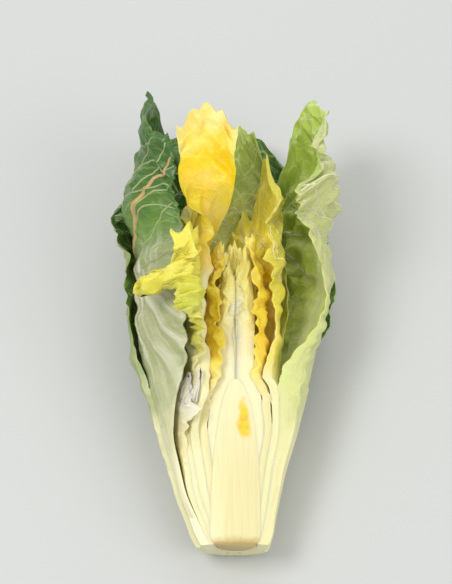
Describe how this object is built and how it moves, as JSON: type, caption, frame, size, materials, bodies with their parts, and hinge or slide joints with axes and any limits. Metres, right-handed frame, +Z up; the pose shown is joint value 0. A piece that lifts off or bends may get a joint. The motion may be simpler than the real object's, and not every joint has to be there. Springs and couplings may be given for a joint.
{
  "type": "romaine lettuce head half",
  "caption": "Half of a small romaine lettuce head, cut lengthwise and lying on its back, with nested waved leaves, pale ribs and a short stem.",
  "frame": {"origin": "on the surface that the half head lies on, under the middle of its outline", "axes": "+Y from the cut butt to the leaf tips, +X to the right of the cut face, +Z up out of the cut face"},
  "size_m": [0.0708, 0.156, 0.0566],
  "materials": {
    "cream_flesh": "moist leaf tissue with a soft gloss",
    "heart_leaf": "moist leaf tissue with a soft gloss",
    "yellow_leaf": "moist leaf tissue with a soft gloss",
    "pale_green_leaf": "moist leaf tissue with a soft gloss",
    "outer_green_leaf": "moist leaf tissue with a soft gloss"
  },
  "bodies": {
    "root": {"stem": "cream_flesh", "bud_leaf": "heart_leaf", "heart_leaf_left_inner": "heart_leaf", "heart_leaf_right_inner": "heart_leaf", "heart_leaf_back": "heart_leaf", "heart_leaf_left_outer": "yellow_leaf", "heart_leaf_right_outer": "yellow_leaf", "tall_yellow_leaf": "yellow_leaf", "curled_yellow_leaf": "yellow_leaf", "right_yellow_leaf": "pale_green_leaf", "back_leaf_inner": "pale_green_leaf", "torn_leaf_stub": "cream_flesh", "outer_leaf_left": "outer_green_leaf", "outer_leaf_right": "pale_green_leaf", "outer_leaf_back": "outer_green_leaf"}
  },
  "joints": []
}
